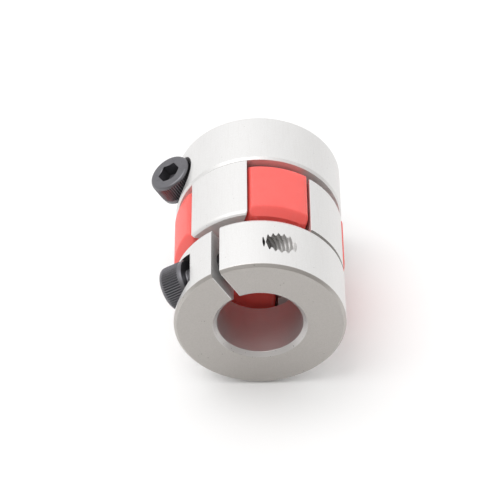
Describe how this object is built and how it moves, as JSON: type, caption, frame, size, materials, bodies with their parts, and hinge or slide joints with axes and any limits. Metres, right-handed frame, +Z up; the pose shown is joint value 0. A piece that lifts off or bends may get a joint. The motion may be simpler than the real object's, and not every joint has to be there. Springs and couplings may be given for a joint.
{
  "type": "jaw coupling",
  "caption": "Clamp-type jaw coupling: slit aluminium hubs with interleaved jaws, a lobed elastomer spider between them, and a socket-head clamp screw across each slit.",
  "frame": {"origin": "middle of the coupling on the shaft axis, half way between the two end faces", "axes": "+Y along the shaft axis from the near hub to the far hub, +Z up as the coupling lies on its side"},
  "size_m": [0.0231, 0.025, 0.0202],
  "materials": {
    "hub_aluminium": "satin, bead-blasted and clear anodised",
    "spider_polyurethane": "moulded polyurethane, satin",
    "screw_black_steel": "black oxide, lightly oiled"
  },
  "bodies": {
    "near_hub": {"near_clamp_hub": "hub_aluminium"},
    "spider": {"jaw_spider": "spider_polyurethane"},
    "far_hub": {"far_clamp_hub": "hub_aluminium"},
    "near_screw": {"near_clamp_screw": "screw_black_steel"},
    "far_screw": {"far_clamp_screw": "screw_black_steel"}
  },
  "joints": [
    {"name": "draw_apart", "type": "slide", "parent": "near_hub", "child": "spider", "axis": [0, 1, 0], "range_m": [-0.001, 0.008]},
    {"name": "wind_up", "type": "hinge", "parent": "spider", "child": "far_hub", "pos_m": [0, 0, 0], "axis": [0, 1, 0], "range_deg": [-1.5, 1.5], "stiffness_Nm_per_rad": 0.05},
    {"name": "near_screw_travel", "type": "slide", "parent": "near_hub", "child": "near_screw", "axis": [-0.8616, 0, -0.5075], "range_m": [-0.001, 0.004]},
    {"name": "far_screw_travel", "type": "slide", "parent": "far_hub", "child": "far_screw", "axis": [-0.5075, 0, 0.8616], "range_m": [-0.0025, 0.0025]}
  ]
}
